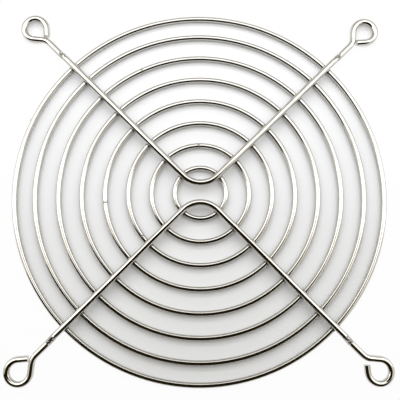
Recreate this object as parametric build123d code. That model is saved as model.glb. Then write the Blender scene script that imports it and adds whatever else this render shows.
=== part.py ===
from build123d import *
from math import cos, radians, sin, sqrt, tan
import os

# Wire guard for a 120 mm fan. Eight flat rings are welded under two bent support wires, and each support
# wire runs as a V from one screw eye past the middle to the next. Z = 0 is the fan's face, on which the
# rings and the eyes lie, and Z is the axis of the rings. Sizes are in millimetres and degrees, and a
# wire's radius, distance or height is measured to the middle of the wire.

# Screw holes of the fan
hole_spacing = 104.8  # between neighbouring holes, the same both ways
eye_hole_diameter = 5.2  # clear hole of a screw eye

# Rings
ring_wire = 1.6  # wire diameter
ring_count = 8
outer_gap = 6.2  # from the outer ring to its neighbour, the other gaps are equal
arm_reach = 17.85  # from the outer ring to the middle of a screw eye, along the arm

# Butt welds that close the rings, where they can be seen
seam_azimuths = {2: 92.3, 3: 217.1, 4: 186.0, 6: 115.5}
seam_groove = 0.3  # width of the round groove that runs about the wire there
flash_azimuth = 156.6  # on the outer ring
flash_diameter = 0.7

# Support wires
support_wire = 1.9  # wire diameter
weld_set_down = 0.2  # how far a support wire sinks into each ring that it is welded to
apex_bend_radius = 7.2  # of the V, beside the middle of the guard
arm_angle = 90.0  # between the two arms of a V
apex_clearance = 0.07  # of straight arm between the apex bend and the weld on the inner ring

# Step that takes an arm down from the top of the rings to the fan's face
step_clearance = 2.45  # from the outside of the outer ring to the first corner of the step
step_angle = 26.0
step_bend_radius = 2.0

# Screw eyes
neck_angle = 40.0  # turn of the arm where it leaves its line for the eye
neck_bend_radius = 4.0
mandrel_flat = 0.08  # depth of the flat band that winding leaves on the inside of the wire
tail_gap_right_rear = 0.1  # from the cut end of each eye to the neck, as each one closed
tail_gap_left_rear = 0.2
tail_gap_left_front = 0.1
tail_gap_right_front = 0.85

# Heights
ring_height = ring_wire / 2
arm_height = ring_wire + support_wire / 2 - weld_set_down
eye_height = support_wire / 2

# Radii of the rings, with a saddle's reach being half its length along the arm
eye_distance = hole_spacing / sqrt(2)
saddle_reach = sqrt(weld_set_down * (ring_wire - weld_set_down))
inner_ring_radius = apex_bend_radius * tan(radians(90 - arm_angle / 2)) + saddle_reach + apex_clearance
outer_ring_radius = eye_distance - arm_reach
ring_pitch = (outer_ring_radius - outer_gap - inner_ring_radius) / (ring_count - 2)

# Distances along an arm, from the axis of the rings
eye_radius = eye_hole_diameter / 2 + support_wire / 2 - mandrel_flat
step_start = outer_ring_radius + ring_wire / 2 + step_clearance
step_end = step_start + (arm_height - eye_height) / tan(radians(step_angle))
neck_distance = eye_distance - eye_radius / sin(radians(neck_angle))
tangent_distance = eye_distance - eye_radius * sin(radians(neck_angle))
tangent_offset = eye_radius * cos(radians(neck_angle))


def on_arm(azimuth, along, left=0.0, height=eye_height):
    """Point on or beside the arm at an azimuth, in the arm's own directions."""
    return Vector(along, left, height).rotate(Axis.Z, azimuth)


def arm_corners(azimuth):
    """Corners of one arm from the apex outwards: the step, the neck and the start of the eye."""
    return [
        on_arm(azimuth, step_start, height=arm_height),
        on_arm(azimuth, step_end),
        on_arm(azimuth, neck_distance),
        on_arm(azimuth, tangent_distance, tangent_offset),
    ]


def eye_edges(azimuth, tail_gap):
    """One eye: clockwise round the screw, then straight back until its cut end faces the neck."""
    start = on_arm(azimuth, tangent_distance, tangent_offset)
    crown = on_arm(azimuth, eye_distance + eye_radius)
    finish = on_arm(azimuth, tangent_distance, -tangent_offset)
    neck = on_arm(azimuth, neck_distance)
    opening = radians(2 * neck_angle)
    end_to_neck = (tail_gap + support_wire / 2 * (1 + cos(opening))) / sin(opening)
    cut_end = neck + (finish - neck).normalized() * end_to_neck
    return [ThreePointArc(start, crown, finish), Line(finish, cut_end)]


def make_support_wire(first_azimuth, first_gap, second_azimuth, second_gap):
    """One bent wire: eye, neck, step, arm, apex and back out to the other eye."""
    apex = Vector(0, 0, arm_height)
    corners = arm_corners(first_azimuth)[::-1] + [apex] + arm_corners(second_azimuth)
    arm_bends = [neck_bend_radius, step_bend_radius, step_bend_radius]
    bends = arm_bends + [apex_bend_radius] + arm_bends[::-1]
    arms = FilletPolyline(*corners, radius=bends)
    eyes = eye_edges(first_azimuth, first_gap) + eye_edges(second_azimuth, second_gap)
    path = Wire(arms.edges() + eyes)
    section = Plane(path @ 0, x_dir=(0, 0, 1), z_dir=path % 0) * Circle(support_wire / 2)
    wire = sweep(section, path)
    for azimuth in (first_azimuth, second_azimuth):
        wire -= Pos(on_arm(azimuth, eye_distance)) * Cylinder(eye_hole_diameter / 2, support_wire)
    return wire


def ring_radius(number):
    """Radius of a ring, counted from 1 at the middle."""
    if number == ring_count:
        return outer_ring_radius
    return inner_ring_radius + (number - 1) * ring_pitch


def make_ring(number, support_wires):
    """One flat ring with its butt weld and the saddles that the support wires press into it."""
    radius = ring_radius(number)
    ring = Pos(0, 0, ring_height) * Torus(radius, ring_wire / 2)
    if number in seam_azimuths:
        groove = Rot(90, 0, 0) * Torus(ring_wire / 2, seam_groove / 2)
        ring -= Rot(0, 0, seam_azimuths[number]) * Pos(radius, 0, ring_height) * groove
    if number == ring_count:
        outside = Pos(radius + ring_wire / 2, 0, ring_height)
        ring += Rot(0, 0, flash_azimuth) * outside * Sphere(flash_diameter / 2)
    for wire in support_wires:
        ring -= wire
    return ring


half_angle = arm_angle / 2
upper = make_support_wire(90 + half_angle, tail_gap_left_rear, 90 - half_angle, tail_gap_right_rear)
lower = make_support_wire(270 + half_angle, tail_gap_right_front, 270 - half_angle, tail_gap_left_front)

os.makedirs("parts", exist_ok=True)
export_step(upper, "parts/upper_support_wire.step")
export_step(lower, "parts/lower_support_wire.step")
for number in range(1, ring_count + 1):
    export_step(make_ring(number, [upper, lower]), f"parts/ring_{number}.step")
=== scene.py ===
import math

import bpy
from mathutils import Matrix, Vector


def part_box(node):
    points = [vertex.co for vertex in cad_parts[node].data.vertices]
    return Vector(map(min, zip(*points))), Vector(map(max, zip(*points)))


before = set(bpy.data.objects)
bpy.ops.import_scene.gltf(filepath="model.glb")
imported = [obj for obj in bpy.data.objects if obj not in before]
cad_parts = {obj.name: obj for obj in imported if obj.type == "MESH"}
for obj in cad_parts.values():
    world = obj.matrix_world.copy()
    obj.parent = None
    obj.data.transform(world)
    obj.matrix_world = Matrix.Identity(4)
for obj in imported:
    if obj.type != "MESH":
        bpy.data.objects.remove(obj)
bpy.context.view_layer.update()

MM = 0.001

# Sizes of the guard in millimetres, as the solids have them
RING_COUNT = 8
RING_WIRE = 1.6
SUPPORT_WIRE = 1.9
OUTER_RADIUS = 56.255
EYE_PLACE = 52.4  # of a screw eye, across and along from the axis of the rings
ARM_HEIGHT = 2.35  # of the middle of an arm above the floor
STEP_DISTANCE = 61.0  # along an arm, to the middle of the step
SEAM_AZIMUTHS = {2: 92.3, 3: 217.1, 4: 186.0, 6: 115.5}

# Plating: noise scales are in cells per millimetre, and depths in millimetres
BRIGHT_TONES = [(0.3, (0.55, 0.538, 0.495)), (0.7, (0.62, 0.608, 0.565))]  # by the mottle
# Dark colour: painted shade where a support wire crosses a ring, and dull plating at seams and steps
DULL_AND_SHADE_COLOUR = (0.07, 0.056, 0.036, 1.0)
ROUGHNESS = (0.05, 0.10)  # between the smoothest and the roughest draw lines
DULL_ROUGHNESS = 0.25  # added where the plating is dull, and where shade is painted beside the welds
NOISE_RANGE = (0.3, 0.7)  # in which nearly all of a noise lies
LINES_ALONG = 0.05  # cells of the draw lines in a millimetre along the wire
LINES_AROUND = 5.0  # cells of the draw lines in a radian around the wire
LINE_RELIEF = 0.7
PIT_RELIEF = 0.3
RELIEF_STRENGTH = 0.03
RELIEF_DEPTH = 0.02
MOTTLE_SCALE = 0.35
PIT_SCALE = 4.0
DENT_SCALE = 0.9
DENT_STRENGTH = 0.9
DENT_DEPTH = 0.5

# Marks on the plating: distances in millimetres, and shares of the dark colour, which is painted shade
# beside the welds and dull plating at the seams and steps
# Painted shade: a ring is painted dark beside each support wire, where the wires cross
WELD_SHADE_WIDTH = 0.5  # on a ring, beside each support wire
WELD_SHADE_SHARE = 0.95
SEAM_MARK = (0.15, 0.7)  # to each side of a seam, where the mark starts to fade and where it has gone
SEAM_SHARE = 0.35
STEP_MARKS = {"upper_support_wire": 2.0, "lower_support_wire": 3.6}  # lengths that the press has crushed
STEP_FADE = 0.6
STEP_SHARE = 0.3

# Floor: paper painted whiter towards the back, as light from behind would fall on it, and nearly white
# outside the outer ring
FLOOR_SIZE = 4.0  # in metres
PAPER_AND_FALLOFF_TONES = [
    (0.0, (0.553, 0.555, 0.543)),
    (0.5, (0.63, 0.633, 0.628)),
    (1.0, (0.685, 0.688, 0.69)),
]
INSIDE_GLOW_RANGE = (0.4, 1.0)  # part of the guard's depth over which the paper inside it is painted whiter, a painted glow of light towards the back
INSIDE_GLOW_SHARE = 0.12
OUTSIDE_RANGE = (0.4, 1.2)  # millimetres beyond the middle of the outer ring's wire
OUTSIDE_SHARE = 0.95
EYE_RANGE = (3.5, 5.0)  # millimetres from the middle of a rear eye
EYE_SHARE = 0.35  # of the white outside that is left within a rear eye

# Walls of the studio: tones by the angle from straight up, in degrees
SIDE_WALL = [(0, 0.75), (20, 1.10), (60, 0.85), (82, 0.85)]
BACK_WALL = [(0, 0.60), (40, 0.50), (60, 0.55), (82, 0.80)]
WALL_CORNER = (0.5, 0.85)  # sines of the headings between which the back wall turns into a side wall
SKIRT = (0.03, 0.14)  # sines of the heights between which the white skirt turns into the walls
TONE_SCALE = 2.0  # the ramps hold tones up to this one
WALL_COLOUR = (1.0, 0.965, 0.87)
TINY = 0.001  # keeps a division from failing straight overhead

# Lamps, in metres: one wide panel overhead, and a strip behind
LAMP_COLOUR = (0.975, 0.99, 1.055)
PANEL_HEIGHT = 0.27
PANEL_FRONT = -0.03
PANEL_SIZE = (2.0, 0.30)
PANEL_TONE = 1.60
STRIP_DISTANCE = 0.4
STRIP_RISE = 38  # degrees above the floor
STRIP_SIZE = (1.2, 0.06)
STRIP_TONE = 7

# Black cloth round the front, with headings in degrees from the right-hand side, anticlockwise from above
BLACK = (0.02, 0.013, 0.004, 1.0)
CLOTH_RADIUS = 1.2  # in metres
CLOTH_LEFT = -162
CLOTH_RIGHT = (-60, -30)  # at the foot of the right-hand edge and at its top
CLOTH_FULL = 45  # degrees of rise at which that edge has reached its top heading
CLOTH_STEPS = 24

# Black card over the front half
CARD_HEIGHT = 0.087  # in metres
CARD_CORNERS = [(-42.5, 10), (42.5, 10), (150, -215), (-42.5, -215)]  # in millimetres

# Camera, fitted to the square of screw eyes and to the rings, in millimetres and degrees
CAMERA_PLACE = (-2.557, -22.463, 149.470)
CAMERA_TURN = (7.793, -0.955, 0.108)
CAMERA_LENS = 44.396
CAMERA_CLIP = 1.0
SENSOR = 36.0


class Nodes:
    """Small helper that adds shader nodes and links them in one call."""

    def __init__(self, tree):
        self.tree = tree
        self.tree.nodes.clear()

    def add(self, kind, props=None, **inputs):
        """Adds a node. An input is called by its name, or by its number with an i before it."""
        node = self.tree.nodes.new(kind)
        for name, value in (props or {}).items():
            setattr(node, name, value)
        for name, value in inputs.items():
            numbered = name.startswith("i") and name[1:].isdigit()
            socket = node.inputs[int(name[1:]) if numbered else name.replace("_", " ")]
            if isinstance(value, bpy.types.NodeSocket):
                self.tree.links.new(value, socket)
            else:
                socket.default_value = value
        return node

    def math(self, operation, a, b=0.0):
        return self.add("ShaderNodeMath", {"operation": operation}, i0=a, i1=b).outputs[0]

    def length(self, a, b):
        return self.math("SQRT", self.math("ADD", self.math("MULTIPLY", a, a), self.math("MULTIPLY", b, b)))

    def span(self, value, low, high, to_low, to_high):
        node = self.add("ShaderNodeMapRange", i0=value, i1=low, i2=high, i3=to_low, i4=to_high)
        return node.outputs[0]

    def soft_step(self, value, low, high):
        smooth = {"interpolation_type": "SMOOTHSTEP"}
        return self.add("ShaderNodeMapRange", smooth, i0=value, i1=low, i2=high).outputs[0]

    def ramp(self, factor, stops):
        node = self.add("ShaderNodeValToRGB", i0=factor)
        while len(node.color_ramp.elements) < len(stops):
            node.color_ramp.elements.new(0.5)
        for element, (place, colour) in zip(node.color_ramp.elements, stops):
            element.position = place
            element.color = (*colour, 1.0)
        return node.outputs["Color"]

    def blend(self, share, first, second):
        node = self.add("ShaderNodeMix", {"data_type": "RGBA"}, Factor=share, i6=first, i7=second)
        return node.outputs[2]

    def noise(self, place, scale, detail):
        return self.add("ShaderNodeTexNoise", Vector=place, Scale=scale, Detail=detail).outputs["Fac"]


def grey(value):
    return (value, value, value, 1.0)


def new_material(name):
    """An empty node material, with the helper for its nodes."""
    material = bpy.data.materials.new(name)
    material.use_nodes = True
    return material, Nodes(material.node_tree)


def add_object(name, data):
    thing = bpy.data.objects.new(name, data)
    bpy.context.scene.collection.objects.link(thing)
    return thing


def plated_wire(name, along, around, darkened, pressed=None):
    """Bright nickel plating on drawn wire.

    The functions add nodes to the material: along gives millimetres along the wire, around gives radians
    around it, darkened gives the share of painted shade at welds and of dull plating elsewhere, and pressed
    gives the share of crushing.
    """
    material, n = new_material(name)
    place = n.add("ShaderNodeTexCoord").outputs["Object"]
    place = n.add("ShaderNodeVectorMath", {"operation": "SCALE"}, i0=place, Scale=1 / MM).outputs[0]
    x, y, z = n.add("ShaderNodeSeparateXYZ", i0=place).outputs
    run = along(n, x, y)
    turn = around(n, x, y, z)
    dull_and_shade = darkened(n, x, y)
    run_cells = n.math("MULTIPLY", run, LINES_ALONG)
    turn_cells = n.math("MULTIPLY", turn, LINES_AROUND)
    drawn = n.add("ShaderNodeCombineXYZ", i0=run_cells, i1=turn_cells)
    lines = n.noise(drawn.outputs[0], 1.0, 3.0)
    mottle = n.noise(place, MOTTLE_SCALE, 4.0)
    pits = n.noise(place, PIT_SCALE, 2.0)
    # the dark colour is painted shade at the welds, and dull plating at seams and steps
    colour = n.blend(dull_and_shade, n.ramp(mottle, BRIGHT_TONES), DULL_AND_SHADE_COLOUR)
    drawn_rough = n.span(lines, *NOISE_RANGE, *ROUGHNESS)
    rough = n.math("ADD", drawn_rough, n.math("MULTIPLY", dull_and_shade, DULL_ROUGHNESS))
    relief = n.math("ADD", n.math("MULTIPLY", lines, LINE_RELIEF), n.math("MULTIPLY", pits, PIT_RELIEF))
    bump = n.add("ShaderNodeBump", Height=relief, Strength=RELIEF_STRENGTH, Distance=RELIEF_DEPTH * MM)
    if pressed:
        dents = n.math("MULTIPLY", n.noise(place, DENT_SCALE, 1.0), pressed(n, run))
        bump = n.add(
            "ShaderNodeBump",
            Height=dents, Strength=DENT_STRENGTH, Distance=DENT_DEPTH * MM, Normal=bump.outputs["Normal"],
        )
    shader = n.add(
        "ShaderNodeBsdfPrincipled",
        Base_Color=colour, Roughness=rough, Metallic=1.0, Normal=bump.outputs["Normal"],
    )
    n.add("ShaderNodeOutputMaterial", Surface=shader.outputs[0])
    return material


def ring_radius(number):
    """Radius of a ring to the middle of its wire, read from the solid's own box."""
    low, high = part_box(f"ring_{number}")
    return (high.x - low.x) / 2 / MM - RING_WIRE / 2


def ring_material(number):
    """Plating of one ring, with its draw lines running round the ring, rougher at its welds and painted
    dark there as the shade where the support wires cross it.
    """
    radius = ring_radius(number)

    def along(n, x, y):
        return n.math("MULTIPLY", n.math("ARCTAN2", y, x), radius)

    def around(n, x, y, z):
        across = n.math("SUBTRACT", n.length(x, y), radius)
        return n.math("ARCTAN2", n.math("SUBTRACT", z, RING_WIRE / 2), across)

    def darkened(n, x, y):
        beside = n.math("SUBTRACT", n.math("ABSOLUTE", x), n.math("ABSOLUTE", y))
        from_arm = n.math("MULTIPLY", n.math("ABSOLUTE", beside), math.sqrt(0.5))
        # painted shade: the ring is darkened beside each support wire, where the wires cross it
        share = n.span(from_arm, SUPPORT_WIRE / 2, SUPPORT_WIRE / 2 + WELD_SHADE_WIDTH, WELD_SHADE_SHARE, 0.0)
        if number not in SEAM_AZIMUTHS:
            return share
        azimuth = math.radians(SEAM_AZIMUTHS[number])
        c, s = math.cos(azimuth), math.sin(azimuth)
        past = n.math("SUBTRACT", n.math("MULTIPLY", y, c), n.math("MULTIPLY", x, s))
        facing = n.math("ADD", n.math("MULTIPLY", x, c), n.math("MULTIPLY", y, s))
        seam = n.span(n.math("ABSOLUTE", past), *SEAM_MARK, SEAM_SHARE, 0.0)
        return n.math("MAXIMUM", share, n.math("MULTIPLY", seam, n.math("GREATER_THAN", facing, 0.0)))

    return plated_wire(f"plated_ring_{number}", along, around, darkened)


def support_material(name, step_mark):
    """Plating of a support wire, with its draw lines running along both arms, crushed at the steps."""

    def along(n, x, y):
        both = n.math("ADD", n.math("ABSOLUTE", x), n.math("ABSOLUTE", y))
        return n.math("MULTIPLY", both, math.sqrt(0.5))

    def around(n, x, y, z):
        across = n.math("SUBTRACT", n.math("ABSOLUTE", y), n.math("ABSOLUTE", x))
        side = n.math("MULTIPLY", across, math.sqrt(0.5))
        return n.math("ARCTAN2", n.math("SUBTRACT", z, ARM_HEIGHT), side)

    def darkened(n, x, y):
        return n.math("MULTIPLY", pressed(n, along(n, x, y)), STEP_SHARE)

    def pressed(n, run):
        from_step = n.math("ABSOLUTE", n.math("SUBTRACT", run, STEP_DISTANCE))
        return n.span(from_step, step_mark / 2 - STEP_FADE, step_mark / 2, 1.0, 0.0)

    return plated_wire(name, along, around, darkened, pressed)


def dress(node, material):
    """Gives a CAD node its material."""
    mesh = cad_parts[node].data
    mesh.materials.clear()
    mesh.materials.append(material)


def floor_material():
    """Pale paper, painted lighter and glowing whiter towards the back as if lit from there, seen as nearly
    white outside the guard, with the guard's shadow left on it.
    """
    material, n = new_material("white_floor")
    x, y = n.add("ShaderNodeSeparateXYZ", i0=n.add("ShaderNodeTexCoord").outputs["Object"]).outputs[:2]
    depth = n.span(y, -OUTER_RADIUS * MM, OUTER_RADIUS * MM, 0.0, 1.0)
    # painted light: the paper lightens towards the back, as the light from behind would make it
    paper = n.add("ShaderNodeBsdfDiffuse", Color=n.ramp(depth, PAPER_AND_FALLOFF_TONES))
    # painted light: inside the guard the paper glows whiter towards the back
    inside_glow = n.span(depth, *INSIDE_GLOW_RANGE, 0.0, INSIDE_GLOW_SHARE)
    near, far = [(OUTER_RADIUS + distance) * MM for distance in OUTSIDE_RANGE]
    outside = n.span(n.length(x, y), near, far, 0.0, OUTSIDE_SHARE)
    beside = n.math("SUBTRACT", n.math("ABSOLUTE", x), EYE_PLACE * MM)
    behind = n.math("SUBTRACT", y, EYE_PLACE * MM)
    near, far = [distance * MM for distance in EYE_RANGE]
    outside = n.math("MULTIPLY", outside, n.span(n.length(beside, behind), near, far, EYE_SHARE, 1.0))
    ray = n.add("ShaderNodeLightPath")
    seen = n.math("MAXIMUM", ray.outputs["Is Camera Ray"], ray.outputs["Is Glossy Ray"])
    seen = n.math("MAXIMUM", seen, ray.outputs["Is Transmission Ray"])
    share = n.math("MULTIPLY", n.math("MAXIMUM", outside, inside_glow), seen)
    white = n.add("ShaderNodeEmission", Color=grey(1.0), Strength=1.0)
    both = n.add("ShaderNodeMixShader", i0=share, i1=paper.outputs[0], i2=white.outputs[0])
    n.add("ShaderNodeOutputMaterial", Surface=both.outputs[0])
    return material


def wall_ramp(n, lean, wall):
    """Colour of a wall, by the angle from straight up as a share of a right angle."""
    stops = [(degrees / 90, [tone / TONE_SCALE * c for c in WALL_COLOUR]) for degrees, tone in wall]
    return n.ramp(lean, stops)


def studio_world():
    """Pale walls with a white skirt at their foot."""
    world = bpy.data.worlds.new("studio")
    bpy.context.scene.world = world
    world.use_nodes = True
    n = Nodes(world.node_tree)
    x, y, z = n.add("ShaderNodeSeparateXYZ", i0=n.add("ShaderNodeTexCoord").outputs["Generated"]).outputs
    lean = n.math("DIVIDE", n.math("ARCCOSINE", z), math.pi / 2)
    sideways = n.math("DIVIDE", n.math("ABSOLUTE", x), n.math("ADD", n.length(x, y), TINY))
    corner = n.soft_step(sideways, *WALL_CORNER)
    walls = n.blend(corner, wall_ramp(n, lean, BACK_WALL), wall_ramp(n, lean, SIDE_WALL))
    room = n.blend(n.soft_step(z, *SKIRT), grey(1.0 / TONE_SCALE), walls)
    light = n.add("ShaderNodeBackground", Color=room, Strength=TONE_SCALE)
    n.add("ShaderNodeOutputWorld", Surface=light.outputs[0])


def soft_lamp(name, place, turn, size, tone):
    """A rectangular lamp that shows no brighter than its tone, turned from facing straight down."""
    light = bpy.data.lights.new(name, "AREA")
    light.shape = "RECTANGLE"
    light.size, light.size_y = size
    light.color = LAMP_COLOUR
    light.energy = tone * math.pi * size[0] * size[1]
    lamp = add_object(name, light)
    lamp.location = place
    lamp.rotation_euler = (math.radians(turn), 0, 0)
    lamp.visible_camera = False
    return lamp


def black_material(name):
    material, n = new_material(name)
    n.add("ShaderNodeOutputMaterial", Surface=n.add("ShaderNodeEmission", Color=BLACK).outputs[0])
    return material


def black_cloth():
    """A part of a dome of black cloth over the front of the studio, that the camera looks through."""
    vertices = []
    faces = []
    for column in range(CLOTH_STEPS + 1):
        for row in range(CLOTH_STEPS + 1):
            rise = math.pi / 2 * row / CLOTH_STEPS
            share = min(1.0, math.degrees(rise) / CLOTH_FULL)
            right = CLOTH_RIGHT[0] + (CLOTH_RIGHT[1] - CLOTH_RIGHT[0]) * share
            heading = math.radians(CLOTH_LEFT + (right - CLOTH_LEFT) * column / CLOTH_STEPS)
            level = CLOTH_RADIUS * math.cos(rise)
            height = CLOTH_RADIUS * math.sin(rise)
            vertices.append((level * math.cos(heading), level * math.sin(heading), height))
            if column < CLOTH_STEPS and row < CLOTH_STEPS:
                first = column * (CLOTH_STEPS + 1) + row
                faces.append((first, first + CLOTH_STEPS + 1, first + CLOTH_STEPS + 2, first + 1))
    mesh = bpy.data.meshes.new("black_cloth")
    mesh.from_pydata(vertices, [], faces)
    mesh.materials.append(black_material("black_cloth"))
    cloth = add_object("black_cloth", mesh)
    cloth.visible_camera = False


def black_card():
    """A dark card over the front half, which only the wires mirror, as they would the front of a camera."""
    mesh = bpy.data.meshes.new("black_card")
    mesh.from_pydata([(x * MM, y * MM, CARD_HEIGHT) for x, y in CARD_CORNERS], [], [(0, 1, 2, 3)])
    mesh.materials.append(black_material("black_card"))
    card = add_object("black_card", mesh)
    card.visible_camera = False
    card.visible_diffuse = False
    card.visible_shadow = False


# The guard
for number in range(1, RING_COUNT + 1):
    dress(f"ring_{number}", ring_material(number))
for node, step_mark in STEP_MARKS.items():
    dress(node, support_material(f"plated_{node}", step_mark))

# Floor
bpy.ops.mesh.primitive_plane_add(size=FLOOR_SIZE, location=(0, 0, 0))
floor = bpy.context.object
floor.name = "floor"
floor.data.materials.append(floor_material())

# Light, of which the strip falls on the floor and isn't mirrored by the wires
studio_world()
soft_lamp("panel", (0, PANEL_FRONT + PANEL_SIZE[1] / 2, PANEL_HEIGHT), 0, PANEL_SIZE, PANEL_TONE)
strip_rise = math.radians(STRIP_RISE)
strip_place = (0, STRIP_DISTANCE * math.cos(strip_rise), STRIP_DISTANCE * math.sin(strip_rise))
strip = soft_lamp("strip", strip_place, STRIP_RISE - 90, STRIP_SIZE, STRIP_TONE)
strip.visible_glossy = False
black_cloth()
black_card()

# Camera
camera_data = bpy.data.cameras.new("camera")
camera_data.sensor_width = SENSOR
camera_data.lens = CAMERA_LENS
camera_data.clip_start = CAMERA_CLIP * MM
camera = add_object("camera", camera_data)
camera.location = [c * MM for c in CAMERA_PLACE]
camera.rotation_euler = [math.radians(a) for a in CAMERA_TURN]
bpy.context.scene.camera = camera
bpy.context.scene.view_settings.view_transform = "Standard"
